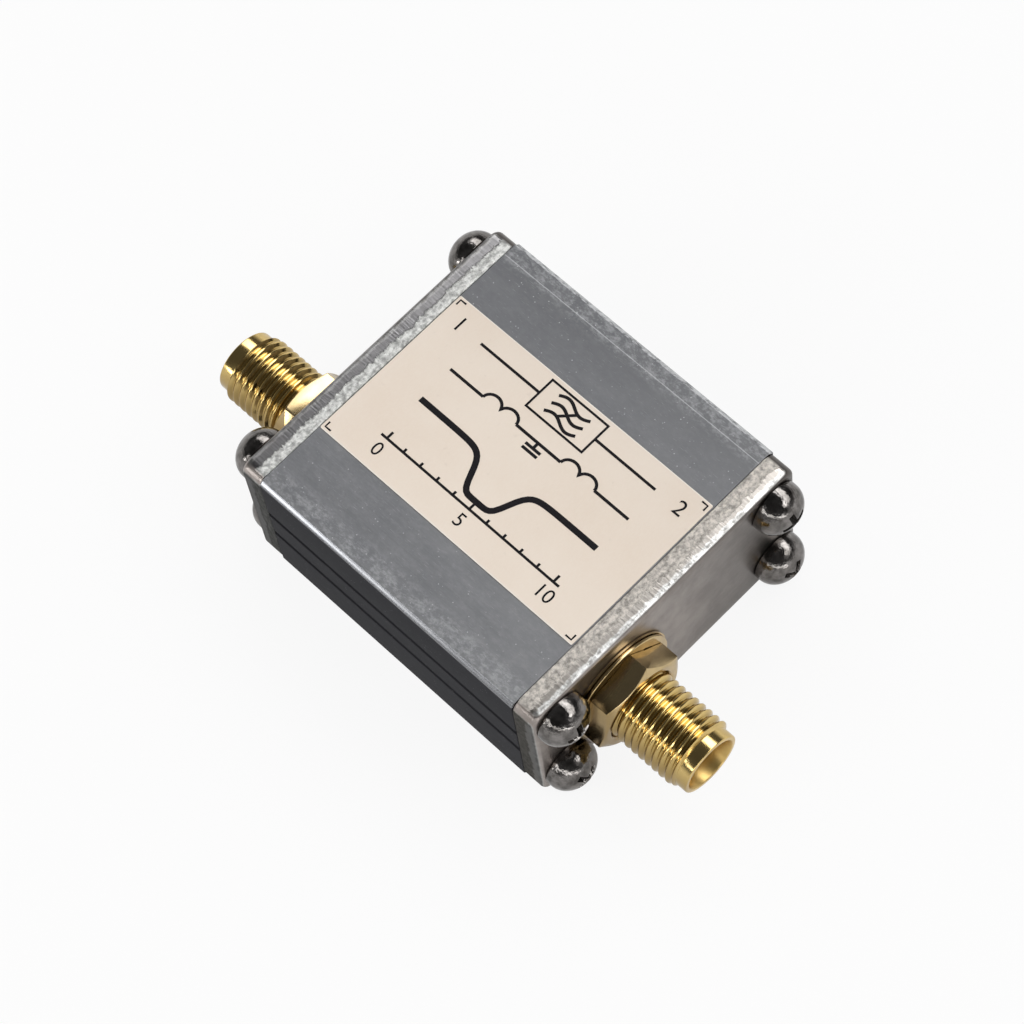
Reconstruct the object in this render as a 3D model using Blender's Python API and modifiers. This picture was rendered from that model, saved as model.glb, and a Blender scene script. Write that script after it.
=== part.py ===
"""Bandstop (notch) filter for radio signals, in a small extruded aluminium case with a coaxial jack
at each end.

Units are metres. X runs from the input jack to the output jack, Y across the case, Z up. The origin
is on the underside of the case, at its middle.
"""
import math

import bmesh
import bpy
from mathutils import Matrix, Vector

MM = 0.001

# Case: one length of aluminium extrusion
CASE_LENGTH = 27.4 * MM
CASE_WIDTH = 28.8 * MM
CASE_HEIGHT = 14.4 * MM
CASE_WALL = 1.5 * MM
CASE_CORNER = 1.4 * MM
GROOVE_WIDTH = 0.7 * MM
GROOVE_DEPTH = 0.3 * MM
GROOVE_OFFSET = 1.7 * MM
RAIL_DEPTH = 0.8 * MM
RAIL_HEIGHT = 0.8 * MM
BOSS_WALL = 0.85 * MM
INNER_CORNER = 0.3 * MM

# Sheared end plates
PLATE_THICKNESS = 2.2 * MM
PLATE_CORNER = 1.2 * MM
PLATE_EDGE_ROUND = 0.35 * MM
SEAT_GAP = 0.02 * MM

# End plate screws, pan head with a cross recess
SCREW_RADIUS = 1.25 * MM
SCREW_LENGTH = 6.0 * MM
SCREW_TIP_CHAMFER = 0.35 * MM
SCREW_INSET = 2.55 * MM
HEAD_RADIUS = 2.3 * MM
HEAD_HEIGHT = 2.4 * MM
HEAD_RIM = 0.45 * MM
RECESS_WIDTH = 0.6 * MM
RECESS_SPAN = 2.6 * MM
RECESS_DEPTH = 1.4 * MM
TAP_CLEARANCE = 0.05 * MM
PASS_CLEARANCE = 0.2 * MM
SCREW_TURNS = (20, 65, 130, 100, 40, 85, 150, 10)

# Coaxial jacks
JACK_REACH = 9.85 * MM
THREAD_RADIUS = 3.175 * MM
LIP_RADIUS = 2.8 * MM
LIP_LENGTH = 1.0 * MM
LIP_CHAMFER = 0.3 * MM
MOUTH_RADIUS = 2.3 * MM
MOUTH_DEPTH = 1.95 * MM
MOUTH_CHAMFER = 0.1 * MM
FLANGE_CLEARANCE = 0.14 * MM
FLANGE_THICKNESS = 1.5 * MM
JACK_HOLE_CLEARANCE = 0.12 * MM
DIELECTRIC_RADIUS = 2.05 * MM
SLEEVE_CLEARANCE = 0.02 * MM
CONTACT_RADIUS = 0.635 * MM
CONTACT_BORE_RADIUS = 0.46 * MM
CONTACT_BORE_DEPTH = 3.0 * MM
CONTACT_SLOT_WIDTH = 0.18 * MM
CONTACT_SLOT_DEPTH = 2.2 * MM
TAIL_RADIUS = 0.45 * MM
TAIL_LENGTH = 2.6 * MM

# Jack nuts and toothed lock washers
NUT_ACROSS_FLATS = 8.0 * MM
NUT_THICKNESS = 2.1 * MM
NUT_CHAMFER_ANGLE = 30
NUT_BORE_CLEARANCE = 0.05 * MM
INPUT_NUT_TURN = 5
OUTPUT_NUT_TURN = 15
WASHER_RADIUS = 5.2 * MM
WASHER_BORE_RADIUS = 4.1 * MM
WASHER_THICKNESS = 0.55 * MM
WASHER_TEETH = 10
TOOTH_CLEARANCE = 0.1 * MM
WASHER_HEAD_GAP = 0.13 * MM

# Paper label
LABEL_WIDTH = 15.6 * MM
LABEL_THICKNESS = 0.12 * MM
LABEL_INSET = 0.1 * MM

# Circuit board, in the case's slots
BOARD_THICKNESS = 1.6 * MM
BOARD_END_GAP = 2.1 * MM
BOARD_SIDE_GAP = 0.25 * MM
BOARD_SLOT_GAP = 0.1 * MM
SOLDER_GAP = 0.03 * MM

# Air-cored coils and chip capacitors
WIRE_RADIUS = 0.2 * MM
COIL_RADIUS = 1.05 * MM
COIL_PITCH = 0.62 * MM
COIL_LIFT = 0.1 * MM
POINTS_PER_TURN = 12
CHIP_LENGTH = 1.6 * MM
CHIP_WIDTH = 0.8 * MM
CHIP_HEIGHT = 0.8 * MM
CHIP_CAP_LENGTH = 0.35 * MM
CHIP_CAP_STEP = 0.03 * MM

# Board layout: distance along the board, distance from the signal line, turns or direction
COILS = (
    ("input_series_coil", -6.2 * MM, 0.0, 3.5),
    ("middle_series_coil", 0.0, 0.0, 4.5),
    ("output_series_coil", 6.2 * MM, 0.0, 3.5),
    ("input_trap_coil", -3.3 * MM, 4.6 * MM, 2.5),
    ("output_trap_coil", 3.3 * MM, 4.6 * MM, 2.5),
)
CAPACITORS = (
    ("input_shunt_capacitor", -9.0 * MM, 2.2 * MM, 90),
    ("input_trap_capacitor", -3.3 * MM, 2.0 * MM, 90),
    ("middle_capacitor", 0.0, 3.4 * MM, 90),
    ("output_trap_capacitor", 3.3 * MM, 2.0 * MM, 90),
    ("output_shunt_capacitor", 9.0 * MM, 2.2 * MM, 90),
    ("tuning_capacitor", 0.0, 6.4 * MM, 0),
)

# Values that follow
AXIS_HEIGHT = CASE_HEIGHT / 2
PLATE_INNER_FACE = CASE_LENGTH / 2 + SEAT_GAP
PLATE_OUTER_FACE = PLATE_INNER_FACE + PLATE_THICKNESS
BOARD_TOP = AXIS_HEIGHT - TAIL_RADIUS - SOLDER_GAP
BOARD_BOTTOM = BOARD_TOP - BOARD_THICKNESS
SCREW_Y = CASE_WIDTH / 2 - SCREW_INSET
SCREW_Z = AXIS_HEIGHT - SCREW_INSET
TAP_RADIUS = SCREW_RADIUS + TAP_CLEARANCE
BOSS_REACH = SCREW_INSET + TAP_RADIUS + BOSS_WALL
BOSS_Y = CASE_WIDTH / 2 - BOSS_REACH
BOSS_Z = AXIS_HEIGHT - BOSS_REACH
HEAD_TO_JACK = WASHER_RADIUS + HEAD_RADIUS + WASHER_HEAD_GAP
JACK_OFFSET = math.sqrt(max(HEAD_TO_JACK ** 2 - SCREW_Z ** 2, 0)) - SCREW_Y
BOSS_TO_JACK = math.hypot(BOSS_Y + JACK_OFFSET, BOSS_Z)
FLANGE_RADIUS = min(AXIS_HEIGHT - CASE_WALL, BOSS_TO_JACK) - FLANGE_CLEARANCE
WASHER_BACK = SEAT_GAP
NUT_BACK = WASHER_BACK + WASHER_THICKNESS + SEAT_GAP
FLANGE_FRONT = -PLATE_THICKNESS - SEAT_GAP
FLANGE_BACK = FLANGE_FRONT - FLANGE_THICKNESS

# Directions of the two ends
INPUT_SIDE = -1
OUTPUT_SIDE = 1
ALONG_X = Matrix(((0, 0, 1, 0), (1, 0, 0, 0), (0, 1, 0, 0), (0, 0, 0, 1)))


def clear_scene():
    for item in list(bpy.data.objects):
        bpy.data.objects.remove(item, do_unlink=True)


def new_collection(name):
    collection = bpy.data.collections.new(name)
    bpy.context.scene.collection.children.link(collection)
    return collection


def material(name, colour, metallic, roughness):
    made = bpy.data.materials.new(name)
    made.use_nodes = True
    shader = made.node_tree.nodes["Principled BSDF"]
    shader.inputs["Base Color"].default_value = (*colour, 1)
    shader.inputs["Metallic"].default_value = metallic
    shader.inputs["Roughness"].default_value = roughness
    return made


def add_object(name, data, finish, collection, place=None):
    made = bpy.data.objects.new(name, data)
    collection.objects.link(made)
    if finish and not data.materials:
        data.materials.append(finish)
    if place is not None:
        made.matrix_world = place
    return made


def smooth_round(mesh, angle=35):
    mesh.shade_smooth()
    mesh.set_sharp_from_angle(angle=math.radians(angle))


def end_place(side):
    """Place of what is built outwards from an end plate's outer face, on the case's middle line."""
    turn = Matrix.Rotation(math.pi if side < 0 else 0, 4, "Z")
    return turn @ Matrix.Translation((PLATE_OUTER_FACE, 0, AXIS_HEIGHT)) @ ALONG_X


def jack_place(side):
    """Place of a jack's pieces: Z of the piece runs out of the case along the jack's axis."""
    return Matrix.Translation((0, JACK_OFFSET, 0)) @ end_place(side)


def rounded_polygon(corners, steps=3):
    """Points of a polygon given as (x, y, corner radius), with an arc at each rounded corner."""
    points = []
    for index, (x, y, radius) in enumerate(corners):
        corner = Vector((x, y))
        if radius == 0:
            points.append(corner)
            continue
        before = (Vector(corners[index - 1][:2]) - corner).normalized()
        after = (Vector(corners[(index + 1) % len(corners)][:2]) - corner).normalized()
        half_angle = before.angle(after) / 2
        centre = corner + (before + after).normalized() * radius / math.sin(half_angle)
        start = corner + before * radius / math.tan(half_angle) - centre
        sweep = start.angle_signed(corner + after * radius / math.tan(half_angle) - centre)
        for step in range(steps + 1):
            points.append(centre + Matrix.Rotation(-sweep * step / steps, 2) @ start)
    return points


def circle_points(radius, count, centre=(0, 0), turn=0):
    angles = [math.radians(turn) + math.tau * step / count for step in range(count)]
    return [Vector((centre[0] + radius * math.cos(a), centre[1] + radius * math.sin(a))) for a in angles]


def mesh_from(item):
    """Closed mesh of an object as it is shown, which takes the object's place."""
    shown = item.evaluated_get(bpy.context.evaluated_depsgraph_get())
    mesh = bpy.data.meshes.new_from_object(shown)
    edit = bmesh.new()
    edit.from_mesh(mesh)
    bmesh.ops.remove_doubles(edit, verts=edit.verts, dist=0.000001)
    bmesh.ops.recalc_face_normals(edit, faces=edit.faces)
    edit.to_mesh(mesh)
    edit.free()
    bpy.data.objects.remove(item, do_unlink=True)
    return mesh


def outline_mesh(loops, low, high):
    """Solid between two heights whose outline is the first loop and whose holes are the others."""
    curve = bpy.data.curves.new("outline", "CURVE")
    curve.dimensions = "2D"
    curve.fill_mode = "BOTH"
    curve.extrude = (high - low) / 2
    for loop in loops:
        spline = curve.splines.new("POLY")
        spline.points.add(len(loop) - 1)
        for point, position in zip(spline.points, loop):
            point.co = (position.x, position.y, 0, 1)
        spline.use_cyclic_u = True
    mesh = mesh_from(add_object("outline", curve, None, cutters))
    mesh.transform(Matrix.Translation((0, 0, (high + low) / 2)))
    return mesh


def turned_mesh(profile, segments, closed=False):
    """Round solid from a profile of (radius, height) points that runs down its outer side."""
    mesh = bpy.data.meshes.new("profile")
    count = len(profile)
    edges = [(index, index + 1) for index in range(count - 1)]
    if closed:
        edges.append((count - 1, 0))
    mesh.from_pydata([(radius, 0, height) for radius, height in profile], edges, [])
    item = add_object("profile", mesh, None, cutters)
    screw = item.modifiers.new("Turn", "SCREW")
    screw.steps = segments
    screw.render_steps = segments
    screw.use_merge_vertices = True
    screw.merge_threshold = 0.000001
    return mesh_from(item)


def block_mesh(size, centre=(0, 0, 0)):
    edit = bmesh.new()
    bmesh.ops.create_cube(edit, size=1, matrix=Matrix.Translation(centre) @ Matrix.Diagonal((*size, 1)))
    mesh = bpy.data.meshes.new("block")
    edit.to_mesh(mesh)
    edit.free()
    return mesh


def combine(base, others, operation):
    """Mesh of one body cut by, joined to or limited to the others."""
    item = add_object("base", base, None, cutters)
    tools = [add_object("tool", other, None, cutters) for other in others]
    for tool in tools:
        step = item.modifiers.new(operation.title(), "BOOLEAN")
        step.operation = operation
        step.solver = "EXACT"
        step.object = tool
        tool.hide_render = True
        tool.display_type = "WIRE"
    mesh = mesh_from(item)
    for tool in tools:
        bpy.data.objects.remove(tool, do_unlink=True)
    return mesh


def case_outline():
    """Outer outline of the extrusion, with two shallow grooves along each side."""
    half = CASE_WIDTH / 2
    grooves = []
    for height in (AXIS_HEIGHT - GROOVE_OFFSET, AXIS_HEIGHT + GROOVE_OFFSET):
        grooves += [(half, height - GROOVE_WIDTH / 2, 0), (half - GROOVE_DEPTH, height - GROOVE_WIDTH / 4, 0),
                    (half - GROOVE_DEPTH, height + GROOVE_WIDTH / 4, 0), (half, height + GROOVE_WIDTH / 2, 0)]
    right = [(half, 0, CASE_CORNER)] + grooves + [(half, CASE_HEIGHT, CASE_CORNER)]
    left = [(-x, y, radius) for x, y, radius in reversed(right)]
    return rounded_polygon(right + left, steps=6)


def cavity_outline():
    """Inside of the extrusion: four screw bosses, and a slot for the board in each side."""
    wall = CASE_WIDTH / 2 - CASE_WALL
    shelf = BOARD_BOTTOM - BOARD_SLOT_GAP
    rail = BOARD_TOP + BOARD_SLOT_GAP
    right = [
        (BOSS_Y, CASE_WALL, INNER_CORNER),
        (BOSS_Y, shelf, INNER_CORNER),
        (wall, shelf, 0),
        (wall, rail, 0),
        (wall - RAIL_DEPTH, rail, 0),
        (wall - RAIL_DEPTH, rail + RAIL_HEIGHT, 0),
        (wall, rail + RAIL_HEIGHT, 0),
        (wall, AXIS_HEIGHT + BOSS_Z, INNER_CORNER),
        (BOSS_Y, AXIS_HEIGHT + BOSS_Z, INNER_CORNER),
        (BOSS_Y, CASE_HEIGHT - CASE_WALL, INNER_CORNER),
    ]
    left = [(-x, y, radius) for x, y, radius in reversed(right)]
    return rounded_polygon(right + left)


def screw_spots(middle_height):
    return [(y, middle_height + z) for y in (-SCREW_Y, SCREW_Y) for z in (-SCREW_Z, SCREW_Z)]


def build_case():
    holes = [circle_points(TAP_RADIUS, 20, spot) for spot in screw_spots(AXIS_HEIGHT)]
    mesh = outline_mesh([case_outline(), cavity_outline()] + holes, -CASE_LENGTH / 2, CASE_LENGTH / 2)
    smooth_round(mesh)
    add_object("housing", mesh, aluminium, filter_parts, ALONG_X)


def build_end_plate(name, side):
    """Sheared plate: its outer face has a rolled edge, and its inner face sits on the case."""
    width = CASE_WIDTH / 2
    height = CASE_HEIGHT / 2
    corners = [(width, -height), (width, height), (-width, height), (-width, -height)]
    outline = rounded_polygon([(x, y, PLATE_CORNER) for x, y in corners], steps=6)
    holes = [circle_points(SCREW_RADIUS + PASS_CLEARANCE, 20, spot) for spot in screw_spots(0)]
    holes.append(circle_points(THREAD_RADIUS + JACK_HOLE_CLEARANCE, 36, (JACK_OFFSET * side, 0)))
    mesh = outline_mesh([outline] + holes, -PLATE_THICKNESS, 0)
    edit = bmesh.new()
    edit.from_mesh(mesh)
    rim = [
        edge for edge in edit.edges
        if all(vert.co.z > -SEAT_GAP for vert in edge.verts) and edge.calc_face_angle(0) > math.radians(60)
        and max(abs(edge.verts[0].co.x) / width, abs(edge.verts[0].co.y) / height) > 0.9
    ]
    bmesh.ops.bevel(edit, geom=rim, offset=PLATE_EDGE_ROUND, segments=3, profile=0.5, affect="EDGES")
    edit.to_mesh(mesh)
    edit.free()
    smooth_round(mesh)
    add_object(name, mesh, plate_metal, filter_parts, end_place(side))


def screw_mesh():
    """Pan head, cross recess and shank, with the head's underside at height zero."""
    dome = HEAD_HEIGHT - HEAD_RIM
    profile = [(HEAD_RADIUS * math.sin(a), HEAD_RIM + dome * math.cos(a))
               for a in (math.pi / 2 * step / 6 for step in range(7))]
    profile += [
        (HEAD_RADIUS, 0),
        (SCREW_RADIUS, 0),
        (SCREW_RADIUS, SCREW_TIP_CHAMFER - SCREW_LENGTH),
        (SCREW_RADIUS - SCREW_TIP_CHAMFER, -SCREW_LENGTH),
        (0, -SCREW_LENGTH),
    ]
    floor = HEAD_HEIGHT - RECESS_DEPTH
    high = HEAD_HEIGHT * 2
    slot = (RECESS_SPAN, RECESS_WIDTH, high - floor)
    centre = (0, 0, (high + floor) / 2)
    bars = [block_mesh(slot, centre), block_mesh((slot[1], slot[0], slot[2]), centre)]
    mesh = combine(turned_mesh(profile, 24), bars, "DIFFERENCE")
    smooth_round(mesh)
    return mesh


def build_screws():
    mesh = screw_mesh()
    spots = [(side, spot) for side in (INPUT_SIDE, OUTPUT_SIDE) for spot in screw_spots(0)]
    names = [f"{end}_{across}_{level}_screw" for end in ("input", "output")
             for across in ("left", "right") for level in ("lower", "upper")]
    for name, (side, (across, level)), turn in zip(names, spots, SCREW_TURNS):
        seat = Matrix.Translation((across * side, level, SEAT_GAP)) @ Matrix.Rotation(math.radians(turn), 4, "Z")
        add_object(name, mesh, nickel, filter_parts, end_place(side) @ seat)


def build_jack_shell(name, side):
    """Threaded shell in one turned piece: flange inside the plate, barrel, lip and mouth."""
    step = JACK_REACH - LIP_LENGTH
    sleeve = DIELECTRIC_RADIUS + SLEEVE_CLEARANCE
    profile = [
        (MOUTH_RADIUS + MOUTH_CHAMFER, JACK_REACH),
        (LIP_RADIUS - MOUTH_CHAMFER, JACK_REACH),
        (LIP_RADIUS, JACK_REACH - MOUTH_CHAMFER),
        (LIP_RADIUS, step),
        (THREAD_RADIUS, step - LIP_CHAMFER),
        (THREAD_RADIUS, FLANGE_FRONT),
        (FLANGE_RADIUS, FLANGE_FRONT),
        (FLANGE_RADIUS, FLANGE_BACK),
        (sleeve, FLANGE_BACK),
        (sleeve, JACK_REACH - MOUTH_DEPTH),
        (MOUTH_RADIUS, JACK_REACH - MOUTH_DEPTH),
        (MOUTH_RADIUS, JACK_REACH - MOUTH_CHAMFER),
    ]
    mesh = turned_mesh(profile, 36, closed=True)
    smooth_round(mesh)
    add_object(name, mesh, gold, filter_parts, jack_place(side))


def build_dielectric(name, side):
    bore = CONTACT_RADIUS + SLEEVE_CLEARANCE
    front = JACK_REACH - MOUTH_DEPTH
    profile = [(bore, front), (DIELECTRIC_RADIUS, front), (DIELECTRIC_RADIUS, FLANGE_BACK), (bore, FLANGE_BACK)]
    mesh = turned_mesh(profile, 24, closed=True)
    smooth_round(mesh)
    add_object(name, mesh, fluoropolymer, filter_parts, jack_place(side))


def build_contact(name, side):
    """Centre contact: a bored and slotted socket in front, and a solder tail behind."""
    front = JACK_REACH - MOUTH_DEPTH
    profile = [
        (0, front - CONTACT_BORE_DEPTH),
        (CONTACT_BORE_RADIUS, front - CONTACT_BORE_DEPTH),
        (CONTACT_BORE_RADIUS, front),
        (CONTACT_RADIUS, front),
        (CONTACT_RADIUS, FLANGE_BACK),
        (TAIL_RADIUS, FLANGE_BACK),
        (TAIL_RADIUS, FLANGE_BACK - TAIL_LENGTH),
        (0, FLANGE_BACK - TAIL_LENGTH),
    ]
    across = CONTACT_RADIUS * 3
    floor = front - CONTACT_SLOT_DEPTH
    slot = (across, CONTACT_SLOT_WIDTH, CONTACT_SLOT_DEPTH * 2)
    centre = (0, 0, floor + CONTACT_SLOT_DEPTH)
    slots = [block_mesh(slot, centre), block_mesh((slot[1], slot[0], slot[2]), centre)]
    mesh = combine(turned_mesh(profile, 20), slots, "DIFFERENCE")
    smooth_round(mesh)
    add_object(name, mesh, gold, filter_parts, jack_place(side))


def build_nut(name, side, turn):
    """Hexagon nut whose outer corners are turned off at a shallow angle."""
    flats = NUT_ACROSS_FLATS / 2
    corners = flats / math.cos(math.pi / 6)
    fall = (corners - flats) * math.tan(math.radians(NUT_CHAMFER_ANGLE))
    front = NUT_BACK + NUT_THICKNESS
    hexagon = circle_points(corners, 6, turn=turn)
    bore = circle_points(THREAD_RADIUS + NUT_BORE_CLEARANCE, 36)
    body = outline_mesh([hexagon, bore], NUT_BACK, front)
    wide = corners + NUT_THICKNESS
    drop = fall * (wide - flats) / (corners - flats)
    turning = turned_mesh([(0, front + SEAT_GAP), (flats, front + SEAT_GAP), (flats, front), (wide, front - drop),
                           (wide, NUT_BACK - SEAT_GAP), (0, NUT_BACK - SEAT_GAP)], 36)
    mesh = combine(body, [turning], "INTERSECT")
    smooth_round(mesh, 20)
    add_object(name, mesh, gold, filter_parts, jack_place(side))


def build_lock_washer(name, side):
    """Spring washer with teeth round its bore, which bite on the plate and the nut."""
    tip = THREAD_RADIUS + TOOTH_CLEARANCE
    bore = []
    for tooth in range(WASHER_TEETH):
        for share, radius in ((0.0, WASHER_BORE_RADIUS), (0.3, WASHER_BORE_RADIUS), (0.45, tip), (0.85, tip)):
            angle = math.tau * (tooth + share) / WASHER_TEETH
            bore.append(Vector((radius * math.cos(angle), radius * math.sin(angle))))
    loops = [circle_points(WASHER_RADIUS, 40), bore]
    mesh = outline_mesh(loops, WASHER_BACK, WASHER_BACK + WASHER_THICKNESS)
    smooth_round(mesh)
    add_object(name, mesh, gold, filter_parts, jack_place(side))


def build_label():
    size = (CASE_LENGTH - 2 * LABEL_INSET, LABEL_WIDTH, LABEL_THICKNESS)
    mesh = block_mesh(size)
    place = Matrix.Translation((0, 0, CASE_HEIGHT + SEAT_GAP + LABEL_THICKNESS / 2))
    add_object("label", mesh, paper, filter_parts, place)


def build_board():
    width = CASE_WIDTH - 2 * (CASE_WALL + BOARD_SIDE_GAP)
    mesh = block_mesh((CASE_LENGTH - 2 * BOARD_END_GAP, width, BOARD_THICKNESS))
    add_object("circuit_board", mesh, laminate, filter_parts, Matrix.Translation((0, 0, (BOARD_TOP + BOARD_BOTTOM) / 2)))


def build_coil(name, along, aside, turns):
    """Air-cored coil: two straight legs down to the board, and the turns between them."""
    curve = bpy.data.curves.new(name, "CURVE")
    curve.dimensions = "3D"
    curve.bevel_depth = WIRE_RADIUS
    curve.bevel_resolution = 2
    curve.use_fill_caps = True
    axis = COIL_RADIUS + WIRE_RADIUS + COIL_LIFT
    count = round(turns * POINTS_PER_TURN)
    length = turns * COIL_PITCH
    points = []
    for step in range(count + 1):
        angle = math.tau * step / POINTS_PER_TURN
        x = length * step / count - length / 2
        points.append((x, COIL_RADIUS * math.cos(angle), axis + COIL_RADIUS * math.sin(angle)))
    first, last = points[0], points[-1]
    points.insert(0, (first[0], first[1], SOLDER_GAP))
    points.append((last[0], last[1], SOLDER_GAP))
    spline = curve.splines.new("POLY")
    spline.points.add(len(points) - 1)
    for point, position in zip(spline.points, points):
        point.co = (*position, 1)
    mesh = mesh_from(add_object("wire", curve, None, cutters))
    smooth_round(mesh, 60)
    place = Matrix.Translation((along, JACK_OFFSET + aside, BOARD_TOP))
    add_object(name, mesh, copper, filter_parts, place)


def build_capacitor(name, along, aside, turn):
    """Chip capacitor: a ceramic body between two raised end caps."""
    cap = (CHIP_CAP_LENGTH, CHIP_WIDTH, CHIP_HEIGHT)
    body = (CHIP_LENGTH - CHIP_CAP_LENGTH, CHIP_WIDTH - 2 * CHIP_CAP_STEP, CHIP_HEIGHT - 2 * CHIP_CAP_STEP)
    reach = (CHIP_LENGTH - CHIP_CAP_LENGTH) / 2
    caps = [block_mesh(cap, (-reach, 0, 0)), block_mesh(cap, (reach, 0, 0))]
    mesh = combine(block_mesh(body), caps, "UNION")
    lift = BOARD_TOP + SOLDER_GAP + CHIP_HEIGHT / 2
    place = Matrix.Translation((along, JACK_OFFSET + aside, lift)) @ Matrix.Rotation(math.radians(turn), 4, "Z")
    add_object(name, mesh, ceramic, filter_parts, place)


clear_scene()
filter_parts = new_collection("Notch filter")
cutters = new_collection("Cutters")

aluminium = material("aluminium_case", (0.30, 0.32, 0.36), 1.0, 0.38)
plate_metal = material("plate_metal", (0.42, 0.41, 0.39), 1.0, 0.32)
nickel = material("screw_nickel", (0.60, 0.58, 0.54), 1.0, 0.12)
gold = material("gold_plate", (0.83, 0.62, 0.28), 1.0, 0.16)
fluoropolymer = material("dielectric", (0.85, 0.84, 0.80), 0.0, 0.45)
paper = material("label_paper", (0.79, 0.70, 0.60), 0.0, 0.6)
laminate = material("board_laminate", (0.04, 0.18, 0.09), 0.0, 0.4)
copper = material("coil_copper", (0.72, 0.34, 0.18), 1.0, 0.25)
ceramic = material("capacitor_ceramic", (0.45, 0.34, 0.24), 0.0, 0.5)

build_case()
build_screws()
for end, side, nut_turn in (("input", INPUT_SIDE, INPUT_NUT_TURN), ("output", OUTPUT_SIDE, OUTPUT_NUT_TURN)):
    build_end_plate(f"{end}_end_plate", side)
    build_jack_shell(f"{end}_jack_shell", side)
    build_dielectric(f"{end}_dielectric", side)
    build_contact(f"{end}_contact", side)
    build_lock_washer(f"{end}_lock_washer", side)
    build_nut(f"{end}_nut", side, nut_turn)
build_label()
build_board()
for coil in COILS:
    build_coil(*coil)
for capacitor in CAPACITORS:
    build_capacitor(*capacitor)
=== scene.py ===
# %% [markdown]
# A notch filter sits in a radio's aerial lead and takes one band of frequencies out of it. This one
# is a short length of aluminium extrusion with a label on top, a sheared plate screwed on each end,
# and a gold plated threaded jack through each plate.
#
# The CAD model fixes where everything is. This lesson builds a finer piece over each visible CAD
# node, gives every surface a procedural finish, and lights the result on a pale floor.

# %% Load the CAD model as a fixed frame
import itertools
import math

import bmesh
import bpy
from mathutils import Matrix, Vector


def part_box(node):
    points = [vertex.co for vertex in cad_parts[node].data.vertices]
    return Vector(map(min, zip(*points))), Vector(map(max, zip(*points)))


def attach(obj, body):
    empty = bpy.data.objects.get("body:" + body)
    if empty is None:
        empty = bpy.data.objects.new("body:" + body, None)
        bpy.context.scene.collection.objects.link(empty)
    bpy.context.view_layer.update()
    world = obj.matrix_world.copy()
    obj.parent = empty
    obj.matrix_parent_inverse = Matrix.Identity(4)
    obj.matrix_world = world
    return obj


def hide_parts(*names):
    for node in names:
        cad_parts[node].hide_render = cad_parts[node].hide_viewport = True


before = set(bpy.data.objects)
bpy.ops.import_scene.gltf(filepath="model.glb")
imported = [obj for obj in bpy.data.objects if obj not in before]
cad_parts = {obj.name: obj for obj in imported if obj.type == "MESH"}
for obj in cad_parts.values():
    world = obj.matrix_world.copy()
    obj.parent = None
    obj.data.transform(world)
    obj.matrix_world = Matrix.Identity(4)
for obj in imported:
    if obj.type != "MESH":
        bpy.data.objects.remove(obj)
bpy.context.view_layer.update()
bpy.ops.object.select_all(action="DESELECT")
print("CAD nodes:", len(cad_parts))

# %% [markdown]
# All lengths are in metres, as in the CAD. The big sizes are read from the CAD nodes' boxes, so that
# a new piece always ends where its node does. Only the finer sizes, which the boxes don't show, are
# written out here.

# %% Sizes of the filter
MM = 0.001
case_low, case_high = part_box("housing")
plate_low, plate_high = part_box("output_end_plate")
nut_low, nut_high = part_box("output_nut")
shell_low, shell_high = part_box("output_jack_shell")
washer_low, washer_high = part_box("output_lock_washer")
label_low, label_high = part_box("label")
board_low, board_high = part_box("circuit_board")

MIDDLE = case_high.z / 2
JACK_Y = (shell_low.y + shell_high.y) / 2
PLATE_FACE = plate_high.x
JACK_REACH = shell_high.x - PLATE_FACE
SCREW_INSET = 2.55 * MM
THREAD_RADIUS = 3.175 * MM
THREAD_PITCH = 0.7056 * MM
ENDS = {"input": -1, "output": 1}
print("case", [round(size / MM, 2) for size in case_high - case_low])
print("jack axis at y", round(JACK_Y / MM, 2))

# %% [markdown]
# The camera stands where the photographer held theirs: over the output end, looking down at 64.5
# degrees and leaning a little to one side. It was worked out from the label's corners, the plates'
# edges and the jacks' outlines, whose real sizes are known. The lens is long, so the case's sides
# stay nearly parallel.

# %% Camera
CAMERA_AZIMUTH = math.radians(53.778)
CAMERA_ELEVATION = math.radians(64.507)
CAMERA_ROLL = math.radians(-10.315)
CAMERA_DISTANCE = 277.887 * MM
CAMERA_LENS = 124.16
CAMERA_AIM = 7.5 * MM
CAMERA_RIGHT = -0.75 * MM
CAMERA_UP = -0.577 * MM


def look_from(azimuth, elevation, roll):
    """Right, up and back directions of a camera that looks at the object from an angle."""
    back = Vector((
        math.sin(azimuth) * math.cos(elevation),
        -math.cos(azimuth) * math.cos(elevation),
        math.sin(elevation),
    ))
    level = Vector((math.cos(azimuth), math.sin(azimuth), 0))
    upright = back.cross(level)
    right = level * math.cos(roll) + upright * math.sin(roll)
    up = upright * math.cos(roll) - level * math.sin(roll)
    return right, up, back


right, up, back = look_from(CAMERA_AZIMUTH, CAMERA_ELEVATION, CAMERA_ROLL)
stand = Vector((0, 0, CAMERA_AIM)) + back * CAMERA_DISTANCE + right * CAMERA_RIGHT + up * CAMERA_UP
bpy.ops.object.camera_add()
camera = bpy.context.object
camera.name = "camera"
camera.data.lens = CAMERA_LENS
camera.data.sensor_width = 36
camera.data.clip_start = 0.01
camera.matrix_world = Matrix.Translation(stand) @ Matrix((right, up, back)).transposed().to_4x4()
bpy.context.scene.camera = camera
bpy.context.scene.view_settings.view_transform = "Standard"
print("camera at", [round(value / MM, 1) for value in stand])

# %% [markdown]
# Every finish below is a node tree, and writing trees link by link hides the idea of a finish behind
# its wiring. One small class keeps a node's output, and its operators add Math nodes, so a mask is
# written as it is thought: `rub = (streak - 0.4) * 3`. A second class adds any other node from its
# type, settings and inputs.

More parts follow.
